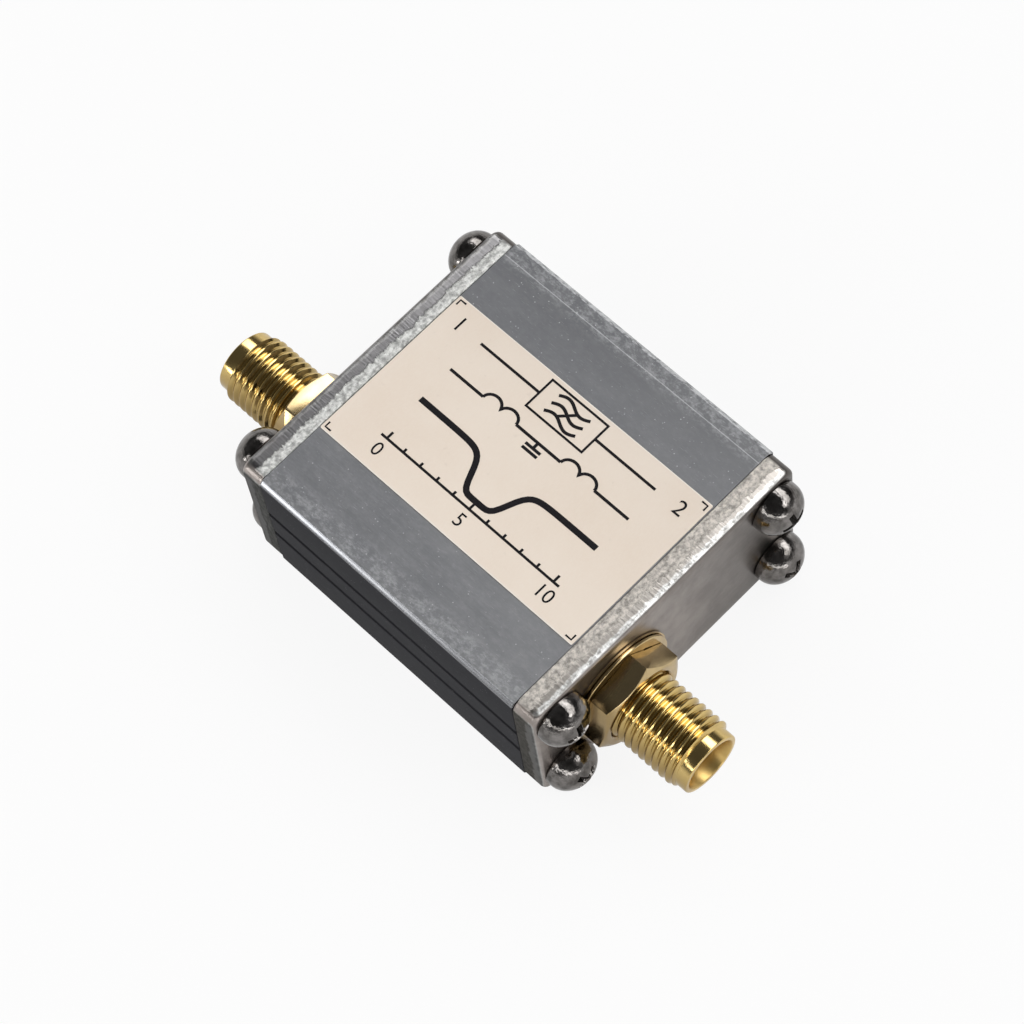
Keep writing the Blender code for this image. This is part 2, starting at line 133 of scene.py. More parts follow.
# %% Node tools
class Wire:
    """One output of a node, for use in plain arithmetic."""

    def __init__(self, finish, socket):
        self.finish = finish
        self.socket = socket

    def math(self, operation, *others, clamp=False, swap=False):
        values = (*others, self) if swap else (self, *others)
        settings = {"operation": operation, "use_clamp": clamp}
        return self.finish.node("ShaderNodeMath", settings, dict(enumerate(values)))

    def __add__(self, other):
        return self.math("ADD", other)

    def __sub__(self, other):
        return self.math("SUBTRACT", other)

    def __mul__(self, other):
        return self.math("MULTIPLY", other)

    def __pow__(self, other):
        return self.math("POWER", other)

    def __gt__(self, other):
        return self.math("GREATER_THAN", other)

    def __lt__(self, other):
        return self.math("LESS_THAN", other)

    def __rsub__(self, other):
        return self.math("SUBTRACT", other, swap=True)

    def __abs__(self):
        return self.math("ABSOLUTE")

    __radd__ = __add__
    __rmul__ = __mul__

    def clamp(self):
        return self.math("ADD", 0.0, clamp=True)

    def ramp(self, low, high):
        """Rises from 0 to 1 as the value goes from low to high, or falls if low is the larger."""
        return ((self - low) * (1 / (high - low))).clamp()


class Finish:
    """A node tree that describes one surface."""

    def __init__(self, name, owner=None):
        self.owner = owner or bpy.data.materials.new(name)
        self.owner.use_nodes = True
        self.tree = self.owner.node_tree
        self.tree.nodes.clear()

    def node(self, kind, settings, inputs, output=0):
        """Adds a node: its settings first, then its inputs by name or number, each a value or wire."""
        made = self.tree.nodes.new(kind)
        for key, value in settings.items():
            setattr(made, key, value)
        for key, value in inputs.items():
            if isinstance(value, Wire):
                self.tree.links.new(value.socket, made.inputs[key])
            else:
                made.inputs[key].default_value = value
        return Wire(self, made.outputs[output]) if made.outputs else None

    def millimetres(self, scale=(1, 1, 1), turn=(0, 0, 0)):
        """Place on the object in millimetres, stretched or turned to suit a pattern."""
        place = self.node("ShaderNodeTexCoord", {}, {}, output="Object")
        factors = [value / MM for value in scale]
        angles = [math.radians(value) for value in turn]
        inputs = {"Vector": place, "Rotation": angles, "Scale": factors}
        return self.node("ShaderNodeMapping", {}, inputs)

    def axes(self):
        """Place along, across and up the object, in millimetres."""
        place = self.millimetres()
        return [self.node("ShaderNodeSeparateXYZ", {}, {0: place}, index) for index in range(3)]

    def noise(self, scale=(1, 1, 1), detail=2.0, rough=0.5, turn=(0, 0, 0)):
        place = self.millimetres(scale, turn)
        inputs = {"Vector": place, "Scale": 1.0, "Detail": detail, "Roughness": rough}
        return self.node("ShaderNodeTexNoise", {}, inputs)

    def cells(self, scale=(1, 1, 1)):
        """Distance from the middles of scattered cells."""
        inputs = {"Vector": self.millimetres(scale), "Scale": 1.0}
        return self.node("ShaderNodeTexVoronoi", {}, inputs, "Distance")

    def mix(self, share, first, second):
        """First colour where the share is 0, second where it is 1."""
        first = first if isinstance(first, Wire) else (*first, 1)
        second = second if isinstance(second, Wire) else (*second, 1)
        inputs = {0: share, 6: first, 7: second}
        return self.node("ShaderNodeMix", {"data_type": "RGBA"}, inputs, output=2)

    def bump(self, height, depth, under=None):
        """Normal of a surface whose height goes from 0 to 1 over a depth in millimetres."""
        inputs = {"Height": height, "Distance": depth * MM, "Strength": 1.0}
        if under:
            inputs["Normal"] = under
        return self.node("ShaderNodeBump", {}, inputs)

    def surface(self, **inputs):
        """Ends the tree in a Principled shader, and gives the material."""
        named = {key.replace("_", " ").title().replace("Ior", "IOR"): value
                 for key, value in inputs.items()}
        if not isinstance(named["Base Color"], Wire):
            named["Base Color"] = (*named["Base Color"], 1)
        shader = self.node("ShaderNodeBsdfPrincipled", {}, named)
        self.node("ShaderNodeOutputMaterial", {}, {"Surface": shader})
        return self.owner


# %% [markdown]
# The same few moves come back for every piece: make it the only selected object, pick some of its
# faces or edges by where they are, apply a modifier, cut one shape with another. Each gets a short
# helper, so that the cells for the pieces read like the steps of the work.

# %% Modelling tools
def take(piece):
    """Makes a piece the only selected and active object."""
    if bpy.context.object and bpy.context.object.mode != "OBJECT":
        bpy.ops.object.mode_set(mode="OBJECT")
    bpy.ops.object.select_all(action="DESELECT")
    piece.select_set(True)
    bpy.context.view_layer.objects.active = piece
    return piece


def settle():
    """Moves the active object's place, turn and scale into its mesh."""
    bpy.ops.object.transform_apply(location=True, rotation=True, scale=True)
    return bpy.context.object


def block(name, low, high):
    """Box between two corners."""
    low, high = Vector(low), Vector(high)
    bpy.ops.mesh.primitive_cube_add(size=1, location=(low + high) / 2, scale=high - low)
    bpy.context.object.name = name
    return settle()


def rod(name, radius, low, high, sides=96):
    """Round bar on the Z axis between two heights."""
    bpy.ops.mesh.primitive_cylinder_add(
        vertices=sides, radius=radius, depth=high - low, location=(0, 0, (low + high) / 2))
    bpy.context.object.name = name
    return settle()


def pick(piece, kind, rule):
    """Opens a piece in edit mode with those faces or edges selected for which the rule holds."""
    take(piece)
    bpy.ops.object.mode_set(mode="EDIT")
    bpy.ops.mesh.select_mode(type=kind)
    bpy.ops.mesh.select_all(action="DESELECT")
    cage = bmesh.from_edit_mesh(piece.data)
    for part in cage.faces if kind == "FACE" else cage.edges:
        if kind == "FACE":
            middle, way = part.calc_center_median(), part.normal
        else:
            start, end = (vert.co for vert in part.verts)
            middle, way = (start + end) / 2, (end - start).normalized()
        if rule(middle, way):
            part.select_set(True)
    cage.select_flush_mode()
    bmesh.update_edit_mesh(piece.data)


def round_off(radius, steps):
    """Rounds the selected edges, and leaves edit mode."""
    bpy.ops.mesh.bevel(offset=radius, segments=steps, profile=0.5, affect="EDGES", clamp_overlap=False)
    bpy.ops.object.mode_set(mode="OBJECT")


def modify(piece, kind, **settings):
    """Adds a modifier with these settings and applies it."""
    step = piece.modifiers.new(kind.title(), kind)
    for name, value in settings.items():
        setattr(step, name, value)
    take(piece)
    bpy.ops.object.modifier_apply(modifier=step.name)


def soften(piece, width, angle):
    """Bevels every edge that turns by more than an angle in degrees."""
    modify(piece, "BEVEL", width=width, segments=2, limit_method="ANGLE",
           angle_limit=math.radians(angle))


def combine(piece, tool, operation):
    """Cuts a piece with another, joins them, or keeps what they share. The tool is used up."""
    modify(piece, "BOOLEAN", operation=operation, solver="EXACT", object=tool)
    bpy.data.objects.remove(tool, do_unlink=True)


def turned(name, outline, steps=96):
    """Turned piece: one vertex is extruded along the outline, which is then spun round the Z axis."""
    bpy.ops.mesh.primitive_plane_add(size=MM)
    piece = bpy.context.object
    piece.name = name
    bpy.ops.object.mode_set(mode="EDIT")
    bpy.ops.mesh.select_mode(type="VERT")
    bpy.ops.mesh.select_all(action="SELECT")
    bpy.ops.mesh.merge(type="CENTER")
    bpy.ops.transform.translate(value=(outline[0][0], 0, outline[0][1]))
    for (radius, height), (next_radius, next_height) in zip(outline, outline[1:]):
        way = (next_radius - radius, 0, next_height - height)
        bpy.ops.mesh.extrude_region_move(TRANSFORM_OT_translate={"value": way})
    bpy.ops.mesh.select_all(action="SELECT")
    if steps:
        bpy.ops.mesh.spin(steps=steps, angle=math.tau, center=(0, 0, 0), axis=(0, 0, 1))
        bpy.ops.mesh.select_all(action="SELECT")
        bpy.ops.mesh.remove_doubles(threshold=0.000001)
        bpy.ops.mesh.normals_make_consistent(inside=False)
    bpy.ops.object.mode_set(mode="OBJECT")
    return piece


def arc(centre, radius, start, end, steps=6):
    """Points of an arc in an outline, from one angle to another in degrees."""
    angles = [math.radians(start + (end - start) * step / steps) for step in range(steps + 1)]
    return [(centre[0] + radius * math.cos(a), centre[1] + radius * math.sin(a)) for a in angles]


OUTWARDS = Matrix(((0, 0, 1, 0), (1, 0, 0, 0), (0, 1, 0, 0), (0, 0, 0, 1)))


def end_place(side, y=0, z=0, out=0, turn=0):
    """Place on an end plate's outer face. Z of what is put there runs out of the case."""
    half_turn = Matrix.Rotation(math.pi if side < 0 else 0, 4, "Z")
    face = Matrix.Translation((PLATE_FACE + out, y * side, MIDDLE + z))
    return half_turn @ face @ OUTWARDS @ Matrix.Rotation(math.radians(turn), 4, "Z")


def copy_to(piece, name, place):
    """Copy of a piece with its own mesh, put in its place."""
    twin = piece.copy()
    twin.data = piece.data.copy()
    twin.name = name
    bpy.context.collection.objects.link(twin)
    twin.matrix_world = place
    take(twin)
    return settle()


def hand_over(piece, material, slot, *nodes, angle=30):
    """Gives a piece its finish, ties it to the body, and hides the CAD nodes it stands for."""
    take(piece)
    bpy.ops.object.shade_smooth_by_angle(angle=math.radians(angle))
    piece.data.materials.clear()
    piece.data.materials.append(material)
    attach(piece, "root")
    if nodes:
        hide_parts(*nodes)
    piece.select_set(False)
    print(piece.name, len(piece.data.polygons), "faces")


# %% [markdown]
# The case is one length of extruded aluminium. A die leaves fine lines along it, the saw leaves its
# ends sharp, and handling leaves specks and rubbed edges. Stretched noises make the lines, a cell
# pattern makes the specks, and masks on the object's own axes rub the top along its edges and leave
# the chamfers bare and smooth, so that they show a window as one white line. The same masks paint
# shade: the sides are painted nearly black, and the case is painted darker towards +Y. Painted light
# makes the top paler towards the output end.

# %% Aluminium finish of the case
def aluminium():
    finish = Finish("drawn_aluminium")
    along, across, high = finish.axes()
    half = MIDDLE / MM
    lift = abs(high - half)
    flat = lift.ramp(half - 0.12, half - 0.02)
    side = lift.ramp(half - 0.40, half - 0.52)
    fine = finish.noise((0.25, 14, 14), detail=3)
    broad = finish.noise((0.06, 1.6, 1.6), detail=2)
    cloud = finish.noise((0.25, 0.6, 0.6), detail=5, rough=0.65)
    grain = finish.noise((1.4, 2.2, 2.2), detail=5, rough=0.75, turn=(0, 0, 35)).ramp(0.46, 0.66)
    scratch = finish.noise((1.2, 22, 22), detail=1, turn=(0, 0, 24)).ramp(0.70, 0.76)
    speck = finish.cells((2.6, 2.6, 2.6)).ramp(0.16, 0.08)
    speck = speck * finish.noise((0.9, 0.9, 0.9)).ramp(0.5, 0.62)
    chips = finish.noise((1.6, 2.6, 2.6), detail=6, rough=0.75)
    rub = abs(across).ramp(11.9, 12.8) * flat * chips.ramp(0.46, 0.62)
    corner = across.ramp(13.9, 14.0) * (1 - side) * chips.ramp(0.38, 0.56)
    die_line = (abs(across - 12.8) < 0.04) * flat
    # Painted light: near makes the top paler towards the output end, and pale adds it to tone and
    # grain.
    near = along.ramp(-6, 13)
    # Painted shade: the case grows darker towards +Y.
    east_painted_shade = across.ramp(0, 12)
    drawn = (fine * 0.55 + broad * 0.45).ramp(0.3, 0.7)
    pale = cloud.ramp(0.35, 0.75) * 0.3 + grain * 0.25 + near * 0.3
    colour = finish.mix(drawn, (0.175, 0.179, 0.189), (0.215, 0.219, 0.231))
    colour = finish.mix(pale, colour, (0.31, 0.313, 0.321))
    colour = finish.mix(east_painted_shade * 0.48, colour, (0.085, 0.087, 0.092))
    # Painted shade: the sides are made nearly black.
    colour = finish.mix(side * 0.95, colour, (0.018, 0.018, 0.021))
    bright = scratch * 0.2 + speck * 0.5 + rub * 0.22 + corner * 0.7 + die_line * 0.3
    colour = finish.mix(bright.clamp() * (1 - side * 0.8), colour, (0.78, 0.79, 0.80))
    metal = 1 - flat * 0.68 - side * 0.85
    drawn_face = (flat + side).clamp()
    rough = 0.10 + drawn_face * 0.07 + flat * 0.23 + fine * 0.08 + rub * 0.1 + cloud * 0.06
    relief = finish.bump(fine * drawn_face, 0.006)
    relief = finish.bump(scratch * flat, 0.01, relief)
    return finish.surface(
        base_color=colour, metallic=metal, roughness=rough, specular_ior_level=0.0, normal=relief)


aluminium_finish = aluminium()
print("finish", aluminium_finish.name)

# %% [markdown]
# On the real case, a saw cut a long bar to length, and four bosses inside take the plates' screws.
# It could be drawn as one outline and extruded. Here a box is shaped instead: its long edges are
# chamfered and softened, planes cut it at the heights of the side grooves, and the strips between
# them are pushed in. The hollow is then cut out with boxes, so that it matches the CAD. The smooth
# shading stops at the sawn ends, because otherwise the long faces would seem to bend towards them.

# %% Case
CASE_CHAMFER = 0.45 * MM
CASE_SOFT = 0.1 * MM
SAWN_EDGE = 0.08 * MM
GROOVE_OFFSET = 1.7 * MM
GROOVE_HALF_WIDTH = 0.35 * MM
GROOVE_DEPTH = 0.3 * MM
CASE_WALL = 1.5 * MM
BOSS_REACH = 4.7 * MM
BOARD_PLAY = 0.1 * MM
RAIL_SIZE = 0.8 * MM
TAP_RADIUS = 1.3 * MM
screw_y = case_high.y - SCREW_INSET
screw_z = MIDDLE - SCREW_INSET
boss_y = case_high.y - BOSS_REACH
wall_y = case_high.y - CASE_WALL
slot_low = board_low.z - BOARD_PLAY
slot_high = board_high.z + BOARD_PLAY


def make_case():
    case = block("case", case_low, case_high)
    for size, steps in ((CASE_CHAMFER, 1), (CASE_SOFT, 3)):
        pick(case, "EDGE", lambda middle, way: abs(way.x) > 0.9)
        round_off(size, steps)
    for height in (MIDDLE - GROOVE_OFFSET, MIDDLE + GROOVE_OFFSET):
        for step in (-1, -0.5, 0.5, 1):
            pick(case, "FACE", lambda middle, way: True)
            bpy.ops.mesh.bisect(
                plane_co=(0, 0, height + step * GROOVE_HALF_WIDTH), plane_no=(0, 0, 1))
        for side in (-1, 1):
            pick(case, "FACE", lambda middle, way: way.y * side > 0.9
                 and abs(middle.z - height) < GROOVE_HALF_WIDTH / 2)
            bpy.ops.transform.translate(value=(0, -side * GROOVE_DEPTH, 0))
    pick(case, "FACE", lambda middle, way: abs(way.x) > 0.9)
    bpy.ops.mesh.region_to_loop()
    round_off(SAWN_EDGE, 2)
    reach = case_high.x * 1.2
    between_bosses = (boss_y, CASE_WALL, case_high.z - CASE_WALL)
    beside_board = (wall_y, slot_low, case_high.z - BOSS_REACH)
    for half_wide, z_low, z_high in (between_bosses, beside_board):
        hollow = block("hollow", (-reach, -half_wide, z_low), (reach, half_wide, z_high))
        combine(case, hollow, "DIFFERENCE")
    rail_reach = case_high.x - 0.1 * MM
    for side in (-1, 1):
        y_low, y_high = sorted((side * (wall_y - RAIL_SIZE), side * (wall_y + 0.3 * MM)))
        low = (-rail_reach, y_low, slot_high)
        combine(case, block("rail", low, (rail_reach, y_high, slot_high + RAIL_SIZE)), "UNION")
    for y in (-screw_y, screw_y):
        for z in (-screw_z, screw_z):
            drill = rod("drill", TAP_RADIUS, -reach, reach, 32)
            drill.matrix_world = Matrix.Translation((0, y, MIDDLE + z)) @ OUTWARDS
            take(drill)
            combine(case, settle(), "DIFFERENCE")
    return case


hand_over(make_case(), aluminium_finish, "aluminium_case", "housing", angle=20)

# %% [markdown]
# The end plates are cut from thick sheet with a shear. The blade first bends the sheet's edge over,
# then burnishes a smooth band, and the rest breaks off rough, so the edge shows three zones across
# its thickness. The masks of this finish run along X, through the plate, for that reason. The flat
# faces are satin and blotched. Painted shade darkens them towards +Y, and the flank on the -Y side
# is painted nearly black as shade.

# %% Sheet finish of the end plates
def sheared_sheet(name, side, break_depth, bright, plain):
    finish = Finish(name)
    along, across, high = finish.axes()
    depth = along * side - (plate_low.x / MM)
    half_wide = case_high.y / MM - 0.15
    half_high = MIDDLE / MM - 0.15
    rim = (abs(across).ramp(half_wide, half_wide + 0.1)
           + abs(high - MIDDLE / MM).ramp(half_high, half_high + 0.1)).clamp()
    tooth = finish.noise((0.3, 2.4, 2.4), detail=4, rough=0.8)
    bay = finish.noise((0.1, 0.5, 0.5), detail=2)
    broken = (break_depth + (tooth - 0.5) * 1.1 + (bay - 0.5) * 0.6 - depth).ramp(-0.06, 0.10) * rim
    crystal = finish.noise((2.2, 1.8, 1.8), detail=6, rough=0.7)
    pull = finish.noise((0.5, 7, 7), detail=3)
    burr = rim * (depth - 1.62 + (crystal - 0.5) * 0.7).ramp(-0.05, 0.1)
    marks = finish.noise((9, 0.5, 9), detail=3)
    cloud = finish.noise((0.3, 0.3, 0.3), detail=6, rough=0.65)
    spot = finish.cells((1.7, 1.7, 1.7)).ramp(0.10, 0.05)
    spot = spot * finish.noise((0.7, 0.7, 0.7)).ramp(0.55, 0.6)
    colour = finish.mix(cloud.ramp(0.35, 0.65), (0.25, 0.219, 0.2), (0.42, 0.376, 0.35))
    smooth = finish.mix(pull.ramp(0.35, 0.65), [value * 0.75 for value in plain], plain)
    # Painted shade: the faces grow darker towards +Y, mixed with a few blotches.
    far = across.ramp(-3, 13)
    blot = finish.noise((0.5, 0.3, 0.35), detail=6, rough=0.75).ramp(0.5, 0.68)
    colour = finish.mix((far * 0.85 + blot * 0.15).clamp(), colour, (0.10, 0.092, 0.085))
    colour = finish.mix(rim, colour, smooth)
    grain = finish.mix(crystal.ramp(0.38, 0.60), [value * 0.42 for value in bright], bright)
    colour = finish.mix(broken, colour, grain)
    colour = finish.mix(burr * (1 if side > 0 else 0.25), colour, (0.92, 0.92, 0.90))
    nick = finish.noise((1.6, 1.3, 1.3), detail=5, rough=0.7).ramp(0.44, 0.58)
    colour = finish.mix(nick * depth.ramp(1.6, 1.8) * rim * 0.7, colour, (0.16, 0.15, 0.14))
    colour = finish.mix(spot * 0.6, colour, (0.08, 0.07, 0.065))
    # Painted shade: the flank on the -Y side is made nearly black.
    flank = (0 - across).ramp(half_wide, half_wide + 0.1)
    colour = finish.mix(flank * 0.9, colour, (0.03, 0.03, 0.028))
    rough = 0.28 + marks * 0.10 + broken * 0.3 + burr * 0.1
    relief = finish.bump(marks, 0.006)
    relief = finish.bump(pull * rim, 0.02, relief)
    relief = finish.bump(crystal * broken, 0.07 if side > 0 else 0.12, relief)
    metal = 1 - broken * 0.5 - flank * 0.45
    return finish.surface(
        base_color=colour, metallic=metal, roughness=rough, specular_ior_level=0.0, normal=relief)


# Painted shade and light: the smooth band is dark on the input plate and light on the output plate.
sheet_finishes = {
    "input": sheared_sheet("input_sheet", -1, 1.0, (0.86, 0.865, 0.84), (0.27, 0.265, 0.27)),
    "output": sheared_sheet("output_sheet", 1, 1.2, (0.72, 0.675, 0.62), (0.62, 0.58, 0.535)),
}
print("finishes", [material.name for material in sheet_finishes.values()])

# %% [markdown]
# A plate is a box with rounded corners, whose outer rim is rolled over by the shear. The holes for the
# screws and the jack are cut through it, although heads and nut cover them, because a part that is
# taken apart would show them.

# %% End plates
PLATE_CORNER = 1.2 * MM
ROLLED_EDGE = 0.45 * MM
BACK_EDGE = 0.06 * MM
SCREW_HOLE = 1.45 * MM
JACK_HOLE = 3.295 * MM


def make_plate(end, side):
    low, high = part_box(f"{end}_end_plate")
    plate = block(f"{end}_sheet_plate", low, high)
    pick(plate, "EDGE", lambda middle, way: abs(way.x) > 0.9)
    round_off(PLATE_CORNER, 12)
    pick(plate, "FACE", lambda middle, way: way.x * side > 0.9)
    bpy.ops.mesh.region_to_loop()
    round_off(ROLLED_EDGE, 5)
    pick(plate, "FACE", lambda middle, way: way.x * side < -0.9)
    bpy.ops.mesh.region_to_loop()
    round_off(BACK_EDGE, 1)
    holes = [(y, z, SCREW_HOLE) for y in (-screw_y, screw_y) for z in (-screw_z, screw_z)]
    for y, z, radius in holes + [(JACK_Y, 0, JACK_HOLE)]:
        drill = rod("drill", radius, -4 * MM, 1 * MM, 48)
        drill.matrix_world = end_place(side, y, z)
        take(drill)
        combine(plate, settle(), "DIFFERENCE")
    return plate


for end, side in ENDS.items():
    hand_over(make_plate(end, side), sheet_finishes[end], "plate_metal", f"{end}_end_plate")

# %% [markdown]
# The screws are nickel plated pan heads, driven in by hand, so no two crosses stand the same way. The
# plating is nearly a mirror: what the eye reads as its pattern are reflections of lamps and floor.
# Only a little haze and a few fine marks are needed on top.

# %% Nickel finish of the screws
def nickel():
    finish = Finish("nickel_plating")
    haze = finish.noise((1.2, 1.2, 1.2), detail=4, rough=0.6)
    dent = finish.noise((3, 3, 3), detail=2)
    colour = finish.mix(haze.ramp(0.35, 0.65), (0.10, 0.093, 0.087), (0.25, 0.235, 0.225))
    relief = finish.bump(dent, 0.03)
    return finish.surface(base_color=colour, metallic=1.0, roughness=0.08 + haze * 0.12, normal=relief)


nickel_finish = nickel()
print("finish", nickel_finish.name)

# %% [markdown]
# A pan head is turned: a low rim, a dome and a straight shank. The cross recess is punched, so it is
# narrower at the bottom. Two crossed bars whose lower faces are drawn together cut it, and a bevel
# then softens its edges as the plating does. One screw is modelled, and eight copies of it are put in
# place with the turns that the CAD gives them.

# %% Screws
HEAD_RADIUS = 2.3 * MM
HEAD_RIM = 0.45 * MM
HEAD_DOME = 1.95 * MM
SHANK_RADIUS = 1.25 * MM
SHANK_LENGTH = 6.0 * MM
RECESS_SPAN = 2.6 * MM
RECESS_WIDTH = 0.6 * MM
RECESS_DEPTH = 1.4 * MM
SEAT_GAP = 0.02 * MM
SCREW_TURNS = (20, 65, 130, 100, 40, 85, 150, 10)


def make_screw():
    dome = [(HEAD_RADIUS * math.sin(a), HEAD_RIM + HEAD_DOME * math.cos(a))
            for a in (math.pi / 2 * step / 16 for step in range(17))]
    shank = [
        (HEAD_RADIUS, 0.08 * MM),
        (HEAD_RADIUS - 0.08 * MM, 0),
        (SHANK_RADIUS, 0),
        (SHANK_RADIUS, 0.35 * MM - SHANK_LENGTH),
        (SHANK_RADIUS - 0.35 * MM, -SHANK_LENGTH),
        (0, -SHANK_LENGTH),
    ]
    screw = turned("screw", dome + shank, 64)
    top = HEAD_RIM + HEAD_DOME
    for span in ((RECESS_SPAN, RECESS_WIDTH), (RECESS_WIDTH, RECESS_SPAN)):
        half = Vector((span[0] / 2, span[1] / 2))
        bar = block("bar", (-half.x, -half.y, top - RECESS_DEPTH), (half.x, half.y, top + 0.3 * MM))
        pick(bar, "FACE", lambda middle, way: way.z < -0.9)
        bpy.ops.transform.resize(value=(0.62, 0.62, 1))
        bpy.ops.object.mode_set(mode="OBJECT")
        combine(screw, bar, "DIFFERENCE")
    soften(screw, 0.05 * MM, 35)
    return screw


screw = make_screw()
spots = itertools.product(ENDS, ("left", "right"), ("lower", "upper"))
for (end, across, level), turn in zip(spots, SCREW_TURNS):
    y = screw_y if across == "right" else -screw_y
    z = screw_z if level == "upper" else -screw_z
    place = end_place(ENDS[end], y, z, SEAT_GAP, turn)
    piece = copy_to(screw, f"{end}_{across}_{level}_pan_head", place)
    hand_over(piece, nickel_finish, "screw_nickel", f"{end}_{across}_{level}_screw", angle=40)
bpy.data.objects.remove(screw, do_unlink=True)

# %% [markdown]
# The jacks, nuts and washers are brass with gold plating. Gold has a strong colour of its own, and
# polished turned work shows it as bright lines beside dark ones. The finish adds the fine rings a
# lathe leaves, a slight tarnish in patches, and a darker one deep in the thread. It is also darker
# and duller inside the mouth, and painted shade darkens the flank that turns towards -Y.

# %% Gold finish
thread_stop = (shell_high.x - 1.15 * MM) / MM


def gold(name, colour, dull, rough, groove=0.0):
    finish = Finish(name)
    along, across, high = finish.axes()
    radius = ((across - JACK_Y / MM) ** 2 + (high - MIDDLE / MM) ** 2) ** 0.5
    deep = radius.ramp(3.12, 2.92) * abs(along).ramp(thread_stop, thread_stop - 0.1) * groove
    patch = finish.noise((0.8, 0.8, 0.8), detail=4, rough=0.6)
    mark = finish.noise((4, 4, 4), detail=3)
    ring = finish.noise((18, 0.4, 0.4), detail=2)
    shade = finish.mix(patch.ramp(0.35, 0.7), colour, dull)
    shade = finish.mix(deep, shade, (0.30, 0.19, 0.04))
    bore = radius.ramp(2.5, 2.4)
    shade = finish.mix(bore * 0.6, shade, (0.50, 0.33, 0.11))
    # Painted shade: the flank that turns towards -Y is made darker.
    flank_painted_shade = across.ramp(JACK_Y / MM - 1.9, JACK_Y / MM - 3.0)
    shade = finish.mix(flank_painted_shade * 0.7, shade, (0.24, 0.165, 0.07))
    relief = finish.bump(ring * 0.5 + mark * 0.5, 0.006)
    dulled = rough + patch * 0.10 + bore * 0.25
    return finish.surface(base_color=shade, metallic=1.0, roughness=dulled, normal=relief)


shell_gold = gold("turned_gold", (0.76, 0.56, 0.22), (0.64, 0.46, 0.18), 0.09, groove=0.45)
nut_gold = gold("nut_gold", (0.66, 0.50, 0.26), (0.54, 0.41, 0.22), 0.13)
contact_gold = gold("contact_gold", (0.88, 0.66, 0.30), (0.80, 0.58, 0.26), 0.16)
print("finishes", shell_gold.name, nut_gold.name, contact_gold.name)

# %% [markdown]
# The jack's thread is what catches the eye, and a stack of rings wouldn't do, because a real thread
# climbs. Its outline over one pitch is drawn once, and a Screw modifier carries it round and up. Its
# turns only touch, so they are welded. Both ends are cut off flat and closed, a turned shape takes
# the thread down at the lip, and the rest of the shell is turned and joined to it. Last, the bore is
# cut.

# %% Jack shells
LIP_RADIUS = 2.8 * MM
LIP_LENGTH = 1.0 * MM
MOUTH_RADIUS = 2.3 * MM
MOUTH_DEPTH = 1.95 * MM
SLEEVE_RADIUS = 2.07 * MM
THREAD_DEPTH = 0.30 * MM
THREAD_TURNS = 17
WELD = 0.002 * MM
CUT_SNAP = 0.0001 * MM
FLANGE_FRONT = -2.22 * MM
flange_back = shell_low.x - PLATE_FACE
flange_radius = (shell_high.y - shell_low.y) / 2
thread_end = JACK_REACH - LIP_LENGTH


def make_thread():
    """Threaded bar on the Z axis, from inside the plate to the lip."""
    root = THREAD_RADIUS - THREAD_DEPTH
    soft = 0.045 * MM
    outline = [
        (THREAD_RADIUS - soft, 0),
        (THREAD_RADIUS, 0.08 * THREAD_PITCH),
        (THREAD_RADIUS, 0.20 * THREAD_PITCH),
        (THREAD_RADIUS - soft, 0.28 * THREAD_PITCH),
        (root + soft, 0.50 * THREAD_PITCH),
        (root, 0.58 * THREAD_PITCH),
        (root, 0.70 * THREAD_PITCH),
        (root + soft, 0.78 * THREAD_PITCH),
        (THREAD_RADIUS - soft, THREAD_PITCH),
    ]
    thread = turned("thread", outline, steps=0)
    modify(thread, "SCREW", axis="Z", angle=math.tau, screw_offset=THREAD_PITCH,
           iterations=THREAD_TURNS, steps=72, render_steps=72)
    thread.matrix_world = Matrix.Translation((0, 0, FLANGE_FRONT - THREAD_PITCH))
    take(thread)
    settle()
    pick(thread, "EDGE", lambda middle, way: True)
    bpy.ops.mesh.remove_doubles(threshold=WELD)
    for height, way in ((FLANGE_FRONT + 0.2 * MM, 1), (thread_end + 0.05 * MM, -1)):
        pick(thread, "EDGE", lambda middle, way: True)
        bpy.ops.mesh.bisect(
            plane_co=(0, 0, height), plane_no=(0, 0, way), clear_inner=True, threshold=CUT_SNAP)
        bpy.ops.mesh.extrude_edges_move()
        bpy.ops.mesh.merge(type="CENTER")
    bpy.ops.mesh.select_all(action="SELECT")
    bpy.ops.mesh.normals_make_consistent(inside=False)
    bpy.ops.object.mode_set(mode="OBJECT")
    return thread


